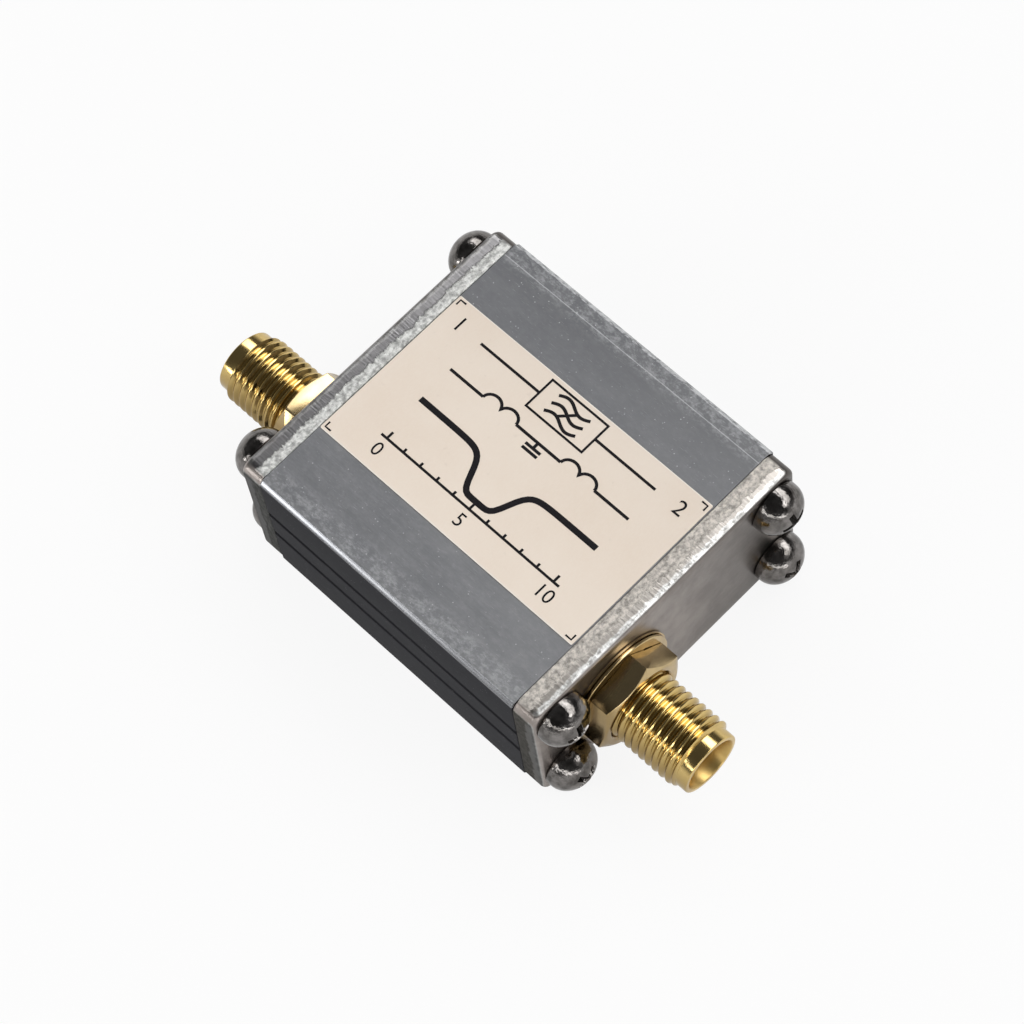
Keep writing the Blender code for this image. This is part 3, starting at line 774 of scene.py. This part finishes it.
def make_shell():
    shell = make_thread()
    taper = turned("taper", [
        (0, thread_end),
        (LIP_RADIUS - 0.08 * MM, thread_end),
        (THREAD_RADIUS + 0.05 * MM, thread_end - 0.3 * MM),
        (THREAD_RADIUS + 0.05 * MM, FLANGE_FRONT),
        (0, FLANGE_FRONT),
    ])
    combine(shell, taper, "INTERSECT")
    core = THREAD_RADIUS - THREAD_DEPTH - 0.02 * MM
    body = turned("body", [
        (0, JACK_REACH),
        (LIP_RADIUS - 0.12 * MM, JACK_REACH),
        *arc((LIP_RADIUS - 0.12 * MM, JACK_REACH - 0.12 * MM), 0.12 * MM, 90, 0, 4)[1:],
        (LIP_RADIUS, thread_end - 0.1 * MM),
        (core, thread_end - 0.1 * MM),
        (core, FLANGE_FRONT + 0.6 * MM),
        (THREAD_RADIUS - 0.1 * MM, FLANGE_FRONT + 0.6 * MM),
        (THREAD_RADIUS - 0.1 * MM, FLANGE_FRONT),
        (flange_radius, FLANGE_FRONT),
        (flange_radius, flange_back),
        (0, flange_back),
    ])
    combine(shell, body, "UNION")
    mouth = JACK_REACH - MOUTH_DEPTH
    bore = turned("bore", [
        (0, JACK_REACH + 0.1 * MM),
        (MOUTH_RADIUS + 0.22 * MM, JACK_REACH + 0.1 * MM),
        (MOUTH_RADIUS, JACK_REACH - 0.12 * MM),
        (MOUTH_RADIUS, mouth),
        (SLEEVE_RADIUS, mouth),
        (SLEEVE_RADIUS, flange_back - 0.1 * MM),
        (0, flange_back - 0.1 * MM),
    ])
    combine(shell, bore, "DIFFERENCE")
    return shell


shell = make_shell()
for end, side in ENDS.items():
    piece = copy_to(shell, f"{end}_threaded_shell", end_place(side, JACK_Y))
    hand_over(piece, shell_gold, "gold_plate", f"{end}_jack_shell", angle=45)
bpy.data.objects.remove(shell, do_unlink=True)

# %% [markdown]
# The nut starts as a cylinder with six sides. Its outer corners are turned off at 30 degrees, which
# leaves the curved edges that every machined nut has, so it is trimmed with a turned cone. A fine
# bevel then lets each edge catch the light.

# %% Nuts
NUT_FLATS = 4.0 * MM
NUT_CORNERS = NUT_FLATS / math.cos(math.pi / 6)
NUT_TURNS = {"input": 5, "output": 15}
NUT_BORE = 3.225 * MM
nut_back = nut_low.x - PLATE_FACE
nut_front = nut_high.x - PLATE_FACE


def make_nut():
    nut = rod("nut", NUT_CORNERS, nut_back, nut_front, 6)
    slope = math.tan(math.radians(30))
    wide = NUT_CORNERS + 1 * MM
    inside = NUT_FLATS - 0.15 * MM
    cone = turned("cone", [
        (0, nut_front + 0.1 * MM),
        (inside, nut_front + 0.1 * MM),
        (inside, nut_front),
        (wide, nut_front - (wide - inside) * slope),
        (wide, nut_back - 0.1 * MM),
        (0, nut_back - 0.1 * MM),
    ], 120)
    combine(nut, cone, "INTERSECT")
    bore = turned("bore", [
        (0, nut_front + 0.1 * MM),
        (NUT_BORE + 0.3 * MM, nut_front + 0.1 * MM),
        (NUT_BORE + 0.2 * MM, nut_front),
        (NUT_BORE, nut_front - 0.2 * MM),
        (NUT_BORE, nut_back - 0.1 * MM),
        (0, nut_back - 0.1 * MM),
    ], 96)
    combine(nut, bore, "DIFFERENCE")
    soften(nut, 0.045 * MM, 24)
    return nut


nut = make_nut()
for end, side in ENDS.items():
    piece = copy_to(nut, f"{end}_hex_nut", end_place(side, JACK_Y, turn=NUT_TURNS[end] - 30))
    hand_over(piece, nut_gold, "gold_plate", f"{end}_nut", angle=20)
bpy.data.objects.remove(nut, do_unlink=True)

# %% [markdown]
# Under the nut lies a lock washer with teeth round its hole. Only its outer ring shows, as a thin
# gold arc on the plate, so its rounded rim matters most: a groove parts it into two bright lines. The
# ring is turned, and one notch tool is copied round to cut the gaps between the teeth.

# %% Lock washers
WASHER_TEETH = 10
TOOTH_TIP = 3.275 * MM
TOOTH_ROOT = 4.1 * MM
washer_radius = (washer_high.y - washer_low.y) / 2
washer_back = washer_low.x - PLATE_FACE
washer_front = washer_high.x - PLATE_FACE


def make_washer():
    soft = 0.1 * MM
    middle = (washer_front + washer_back) / 2
    washer = turned("washer", [
        (TOOTH_TIP, washer_front),
        *arc((washer_radius - soft - 0.12 * MM, washer_front - soft), soft, 90, 0, 4),
        (washer_radius - 0.12 * MM, middle + 0.05 * MM),
        (washer_radius - 0.4 * MM, middle + 0.03 * MM),
        (washer_radius - 0.4 * MM, middle - 0.03 * MM),
        (washer_radius, middle - 0.05 * MM),
        *arc((washer_radius - soft, washer_back + soft), soft, 0, -90, 4),
        (TOOTH_TIP, washer_back),
        (TOOTH_TIP, washer_front),
    ], 144)
    for tooth in range(WASHER_TEETH):
        notch = block("notch", (TOOTH_TIP - 0.3 * MM, -0.55 * MM, washer_back - 0.1 * MM),
                      (TOOTH_ROOT, 0.55 * MM, washer_front + 0.1 * MM))
        notch.matrix_world = Matrix.Rotation(math.tau * (tooth + 0.15) / WASHER_TEETH, 4, "Z")
        take(notch)
        combine(washer, settle(), "DIFFERENCE")
    return washer


washer = make_washer()
for end, side in ENDS.items():
    piece = copy_to(washer, f"{end}_toothed_washer", end_place(side, JACK_Y))
    hand_over(piece, nut_gold, "gold_plate", f"{end}_lock_washer")
bpy.data.objects.remove(washer, do_unlink=True)

# %% [markdown]
# Deep in each jack sits a white fluoropolymer sleeve, and in it the contact, a gold tube slit in four
# so that it springs round a plug's pin. They show when one looks into the mouth. Both are turned, and
# two thin blades cut the slits.

# %% Sleeve finish
def fluoropolymer():
    finish = Finish("fluoropolymer")
    cloud = finish.noise((1.5, 1.5, 1.5), detail=3)
    ring = finish.noise((6, 0.8, 0.8), detail=2)
    colour = finish.mix(cloud, (0.80, 0.78, 0.73), (0.88, 0.87, 0.83))
    return finish.surface(
        base_color=colour, roughness=0.42 + cloud * 0.1, subsurface_weight=0.05,
        normal=finish.bump(ring, 0.01))


sleeve_finish = fluoropolymer()
print("finish", sleeve_finish.name)

# %% Sleeves and contacts
CONTACT_RADIUS = 0.635 * MM
CONTACT_BORE = 0.46 * MM
TAIL_RADIUS = 0.45 * MM
TAIL_LENGTH = 2.6 * MM
mouth_floor = JACK_REACH - MOUTH_DEPTH


def make_sleeve():
    bore = CONTACT_RADIUS + 0.02 * MM
    outside = SLEEVE_RADIUS - 0.02 * MM
    return turned("sleeve", [
        (bore, mouth_floor - 0.06 * MM),
        (bore + 0.06 * MM, mouth_floor),
        (outside - 0.05 * MM, mouth_floor),
        (outside, mouth_floor - 0.05 * MM),
        (outside, flange_back),
        (bore, flange_back),
        (bore, mouth_floor - 0.06 * MM),
    ], 72)


def make_contact():
    contact = turned("contact", [
        (0, mouth_floor - 3 * MM),
        (CONTACT_BORE, mouth_floor - 3 * MM),
        (CONTACT_BORE, mouth_floor - 0.08 * MM),
        (CONTACT_BORE + 0.07 * MM, mouth_floor),
        (CONTACT_RADIUS - 0.05 * MM, mouth_floor),
        (CONTACT_RADIUS, mouth_floor - 0.05 * MM),
        (CONTACT_RADIUS, flange_back),
        (TAIL_RADIUS, flange_back),
        (TAIL_RADIUS, flange_back - TAIL_LENGTH),
        (0, flange_back - TAIL_LENGTH),
    ], 48)
    for span in ((1, 0.09), (0.09, 1)):
        low = (-span[0] * MM, -span[1] * MM, mouth_floor - 2.2 * MM)
        high = (span[0] * MM, span[1] * MM, mouth_floor + 0.2 * MM)
        combine(contact, block("blade", low, high), "DIFFERENCE")
    return contact


sleeve = make_sleeve()
contact = make_contact()
for end, side in ENDS.items():
    piece = copy_to(sleeve, f"{end}_sleeve", end_place(side, JACK_Y))
    hand_over(piece, sleeve_finish, "dielectric", f"{end}_dielectric")
    piece = copy_to(contact, f"{end}_socket", end_place(side, JACK_Y))
    hand_over(piece, contact_gold, "gold_plate", f"{end}_contact")
for piece in (sleeve, contact):
    bpy.data.objects.remove(piece, do_unlink=True)

# %% [markdown]
# The label is a strip of cream paper, cut a little uneven and stuck along the case between the two
# plates. Paper isn't one flat colour: fibres and light handling mottle it, and its cut edge is paler.

# %% Paper and ink
def paper():
    finish = Finish("cream_paper")
    along, across, high = finish.axes()
    fibre = finish.noise((7, 3, 7), detail=4, rough=0.7)
    mottle = finish.noise((0.18, 0.18, 0.18), detail=3)
    stain = finish.noise((1.3, 1.3, 1.3), detail=2).ramp(0.68, 0.78)
    colour = finish.mix(mottle.ramp(0.3, 0.7), (0.83, 0.73, 0.63), (0.80, 0.69, 0.585))
    colour = finish.mix(fibre.ramp(0.4, 0.7) * 0.25, colour, (0.86, 0.78, 0.69))
    colour = finish.mix(stain * 0.2, colour, (0.62, 0.53, 0.45))
    edge = abs(across).ramp(7.68, 7.74)
    colour = finish.mix(edge * 0.7, colour, (0.93, 0.88, 0.80))
    relief = finish.bump(fibre, 0.006)
    return finish.surface(
        base_color=colour, roughness=0.6 + fibre * 0.1, specular_ior_level=0.25, normal=relief)


def ink():
    finish = Finish("printed_ink")
    wear = finish.noise((5, 5, 5), detail=4, rough=0.7)
    colour = finish.mix(wear.ramp(0.5, 0.75), (0.008, 0.007, 0.009), (0.02, 0.017, 0.02))
    return finish.surface(base_color=colour, roughness=0.6 + wear * 0.15, specular_ior_level=0.15)


paper_finish = paper()
ink_finish = ink()
print("finishes", paper_finish.name, ink_finish.name)

# %% Label sheet
PRINT_HEIGHT = 0.02 * MM
LABEL_CORNER = 0.12 * MM
LABEL_EDGE = 0.03 * MM


def make_label():
    top = Vector((label_high.x, label_high.y, label_high.z - PRINT_HEIGHT))
    label = block("label_sheet", label_low, top)
    pick(label, "EDGE", lambda middle, way: abs(way.z) > 0.9)
    round_off(LABEL_CORNER, 3)
    pick(label, "FACE", lambda middle, way: way.z > 0.9)
    bpy.ops.mesh.region_to_loop()
    round_off(LABEL_EDGE, 2)
    return label


hand_over(make_label(), paper_finish, "label_paper", "label")

# %% [markdown]
# The print on the real label isn't copied. In its place stands plain line art that any such filter
# could carry: the symbol for a band-stop filter, a small circuit, the dip of its response, and a
# scale with numbers. Each stroke is a curve with a round bevel, made a mesh, pressed flat and joined.

# %% Label print
def stroke(points, width, closed=False):
    """Pen stroke on the label through points in millimetres from its middle."""
    curve = bpy.data.curves.new("stroke", "CURVE")
    curve.dimensions = "3D"
    curve.bevel_depth = width * MM / 2
    curve.bevel_resolution = 2
    curve.use_fill_caps = True
    spline = curve.splines.new("POLY")
    spline.points.add(len(points) - 1)
    for point, (x, y) in zip(spline.points, points):
        point.co = (x * MM, y * MM, 0, 1)
    spline.use_cyclic_u = closed
    piece = bpy.data.objects.new("stroke", curve)
    bpy.context.collection.objects.link(piece)
    take(piece)
    bpy.ops.object.convert(target="MESH")
    return bpy.context.object


def digits(text, x, y, size):
    """Plain number whose lower left corner is at a place on the label."""
    bpy.ops.object.text_add(location=(x * MM, y * MM, 0))
    piece = bpy.context.object
    piece.data.body = text
    piece.data.size = size * MM
    piece.data.extrude = 0.1 * MM
    bpy.ops.object.convert(target="MESH")
    take(bpy.context.object)
    return settle()


def wave(left, middle, length, height):
    """Points of one full wave."""
    parts = [step / 24 for step in range(25)]
    return [(left + length * part, middle + height * math.sin(math.tau * part)) for part in parts]


def response(x):
    """Height of the filter's response: level on both sides, with a deep dip in the middle."""
    return 1.3 - 3.4 / (1 + (x / 2.1) ** 6)


def make_print():
    strokes = []
    frame_box = [(-3.0, 4.3), (3.0, 4.3), (3.0, 7.3), (-3.0, 7.3)]
    strokes.append(stroke(frame_box, 0.28, closed=True))
    for row in (-0.85, 0, 0.85):
        strokes.append(stroke(wave(-1.7, 5.8 + row, 3.4, 0.3), 0.28))
    strokes.append(stroke([(-0.55, 5.25), (0.55, 6.35)], 0.26))
    strokes.append(stroke([(-9.4, 5.8), (-3.0, 5.8)], 0.24))
    strokes.append(stroke([(3.0, 5.8), (9.4, 5.8)], 0.24))
    strokes.append(stroke([(-9.6, 2.6), (-6.0, 2.6)], 0.26))
    for start in (-6.0, 2.4):
        humps = [(start + 1.8 * hump + 0.9 - 0.9 * math.cos(a), 2.6 + 0.75 * math.sin(a))
                 for hump in range(2) for a in (math.pi * step / 12 for step in range(13))]
        strokes.append(stroke(humps, 0.26))
    strokes.append(stroke([(-2.4, 2.6), (2.4, 2.6)], 0.26))
    strokes.append(stroke([(6.0, 2.6), (9.6, 2.6)], 0.26))
    strokes.append(stroke([(0, 2.6), (0, 2.0)], 0.26))
    strokes.append(stroke([(-0.8, 2.0), (0.8, 2.0)], 0.26))
    strokes.append(stroke([(-0.8, 1.6), (0.8, 1.6)], 0.26))
    curve = [(x / 4, response(x / 4) - 2.1) for x in range(-38, 39)]
    strokes.append(stroke(curve, 0.52))
    strokes.append(stroke([(-9.6, -5.0), (9.6, -5.0)], 0.22))
    for tick in range(11):
        x = -9 + 1.8 * tick
        long = tick % 5 == 0
        strokes.append(stroke([(x, -5.0), (x, -4.3 if long else -4.6)], 0.22))
    for number, x in (("0", -9.35), ("5", -0.35), ("10", 8.3)):
        strokes.append(digits(number, x, -6.7, 1.7))
    strokes.append(digits("1", -12.3, 5.3, 1.9))
    strokes.append(digits("2", 11.4, 5.3, 1.9))
    for x in (-13.3, 13.3):
        for y in (-7.5, 7.5):
            strokes.append(stroke([(x * 0.955, y), (x, y), (x, y * 0.93)], 0.16))
    bpy.ops.object.select_all(action="DESELECT")
    for piece in strokes:
        piece.select_set(True)
    bpy.context.view_layer.objects.active = strokes[0]
    bpy.ops.object.join()
    artwork = bpy.context.object
    artwork.name = "label_print"
    thick = artwork.dimensions.z
    flat = Matrix.Diagonal((1, 1, PRINT_HEIGHT / thick, 1))
    artwork.matrix_world = Matrix.Translation((0, 0, label_high.z - PRINT_HEIGHT / 2)) @ flat
    take(artwork)
    return settle()


hand_over(make_print(), ink_finish, "label_paper")

# %% [markdown]
# Inside the closed case the CAD's own nodes stay as they are: the board in its slots, the wire coils
# and the chip capacitors. Nobody sees them in the closed filter, but a library part may be opened, so
# each still gets a finish of its own.

# %% Finishes of the hidden parts
def laminate():
    finish = Finish("board_laminate")
    inputs = {"Vector": finish.millimetres(), "Scale": 1.2, "Distortion": 0.4}
    weave = finish.node("ShaderNodeTexWave", {"bands_direction": "X"}, inputs)
    cross = finish.node("ShaderNodeTexWave", {"bands_direction": "Y"}, inputs)
    cloth = (weave * cross).ramp(0.2, 0.8)
    relief = finish.bump(cloth, 0.01)
    colour = finish.mix(cloth * 0.5, (0.03, 0.16, 0.075), (0.05, 0.24, 0.11))
    return finish.surface(base_color=colour, roughness=0.34 + cloth * 0.1, normal=relief)


def copper():
    finish = Finish("enamelled_copper")
    tint = finish.noise((2, 2, 2), detail=3)
    colour = finish.mix(tint.ramp(0.3, 0.7), (0.72, 0.32, 0.16), (0.60, 0.24, 0.11))
    relief = finish.bump(tint, 0.01)
    return finish.surface(base_color=colour, metallic=1.0, roughness=0.22 + tint * 0.1, normal=relief)


def ceramic():
    finish = Finish("chip_ceramic")
    grain = finish.noise((9, 9, 9), detail=3)
    colour = finish.mix(grain.ramp(0.3, 0.7), (0.42, 0.30, 0.20), (0.52, 0.39, 0.27))
    relief = finish.bump(grain, 0.008)
    return finish.surface(base_color=colour, roughness=0.45 + grain * 0.15, normal=relief)


hidden = {"coil": copper(), "capacitor": ceramic(), "board": laminate()}
for name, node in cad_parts.items():
    for ending, material in hidden.items():
        if name.endswith(ending):
            node.data.materials.clear()
            node.data.materials.append(material)
            print(name, "->", material.name)

# %% [markdown]
# The filter lies on a plain pale floor in soft studio light. To the camera the floor is nearly white
# of itself, and in the metal's reflections partly so, and it still takes the filter's shadow. Metal
# shows a dark room with a few bright windows in it, which are there for reflections alone: plain
# surfaces get an even light from the world instead.

# %% Floor
def pale_floor():
    finish = Finish("pale_floor")
    cloud = finish.noise((0.004, 0.004, 0.004), detail=2)
    colour = finish.mix(cloud, (0.84, 0.84, 0.84), (0.86, 0.86, 0.86))
    cloth = finish.node("ShaderNodeBsdfDiffuse", {}, {"Color": colour})
    glow = finish.node("ShaderNodeEmission", {}, {"Color": (1, 1, 1, 1), "Strength": 1.0})
    seen = finish.node("ShaderNodeLightPath", {}, {}, "Is Camera Ray")
    glossy = finish.node("ShaderNodeLightPath", {}, {}, "Is Glossy Ray")
    through = finish.node("ShaderNodeLightPath", {}, {}, "Is Transmission Ray")
    share = seen * 0.88 + (glossy + through).clamp() * (1 - seen) * 0.3
    shader = finish.node("ShaderNodeMixShader", {}, {0: share, 1: cloth, 2: glow})
    finish.node("ShaderNodeOutputMaterial", {}, {"Surface": shader})
    return finish.owner


bpy.ops.mesh.primitive_plane_add(size=3)
floor = bpy.context.object
floor.name = "floor"
floor.data.materials.append(pale_floor())
floor.select_set(False)
print("floor", [round(size, 2) for size in floor.dimensions])

# %% World
def towards(azimuth, elevation):
    """Direction from the filter to a place in the room, as the camera's own place is given."""
    return look_from(math.radians(azimuth), math.radians(elevation), 0)[2]


def studio_room():
    """Dark room with a pale horizon, a long skylight and windows, for what the metal shows."""
    world = bpy.data.worlds.new("studio_room")
    bpy.context.scene.world = world
    room = Finish("room", world)
    way = room.node("ShaderNodeTexCoord", {}, {}, "Generated")
    rise = room.node("ShaderNodeSeparateXYZ", {}, {0: way}, 2)

    def dot(direction):
        """How far a ray runs along a direction."""
        settings = {"operation": "DOT_PRODUCT"}
        return room.node("ShaderNodeVectorMath", settings, {0: way, 1: direction}, "Value")

    def window(azimuth, elevation, near, far):
        """Round window that is full up to one angle from its middle and gone at another."""
        facing = dot(towards(azimuth, elevation))
        return facing.ramp(math.cos(math.radians(far)), math.cos(math.radians(near)))

    along = dot((1, 0, 0))
    horizon = 0.78 - rise.ramp(0.04, 0.30) * 0.70
    skylight = abs(dot(towards(0, 37))).ramp(0.26, 0.16) * abs(along).ramp(0.8, 0.5) * (rise > 0)
    gleam = abs(dot(towards(180, 64))).ramp(0.07, 0.035) * along.ramp(-0.24, -0.18) * (rise > 0)
    windows = window(333, 12, 2.5, 6.5) * 9.0 + window(110, 34, 6, 18) * 0.6
    shade = horizon + skylight * 4.2 + gleam * 4.5 + windows
    plain = room.node("ShaderNodeLightPath", {}, {}, "Is Diffuse Ray")
    level = plain * 0.71 + (1 - plain) * shade
    light = room.node("ShaderNodeBackground", {}, {"Color": (1, 1, 1, 1), "Strength": level})
    room.node("ShaderNodeOutputWorld", {}, {"Surface": light})


studio_room()
print("world", bpy.context.scene.world.name)

# %% Lamps
LAMP_DISTANCE = 0.5


def lamp(name, azimuth, elevation, size, power):
    """Soft square lamp that faces the filter from an angle."""
    lamp_right, lamp_up, lamp_back = look_from(math.radians(azimuth), math.radians(elevation), 0)
    bpy.ops.object.light_add(type="AREA")
    light = bpy.context.object
    light.name = name
    light.data.shape = "SQUARE"
    light.data.size = size
    light.data.energy = power
    turn = Matrix((lamp_right, lamp_up, lamp_back)).transposed().to_4x4()
    spot = lamp_back * LAMP_DISTANCE + Vector((0, 0, MIDDLE))
    light.matrix_world = Matrix.Translation(spot) @ turn
    light.select_set(False)
    print(name, power, "W")


lamp("side_lamp", 340, 30, 0.10, 0.12)
lamp("front_lamp", 112, 42, 0.12, 0.16)
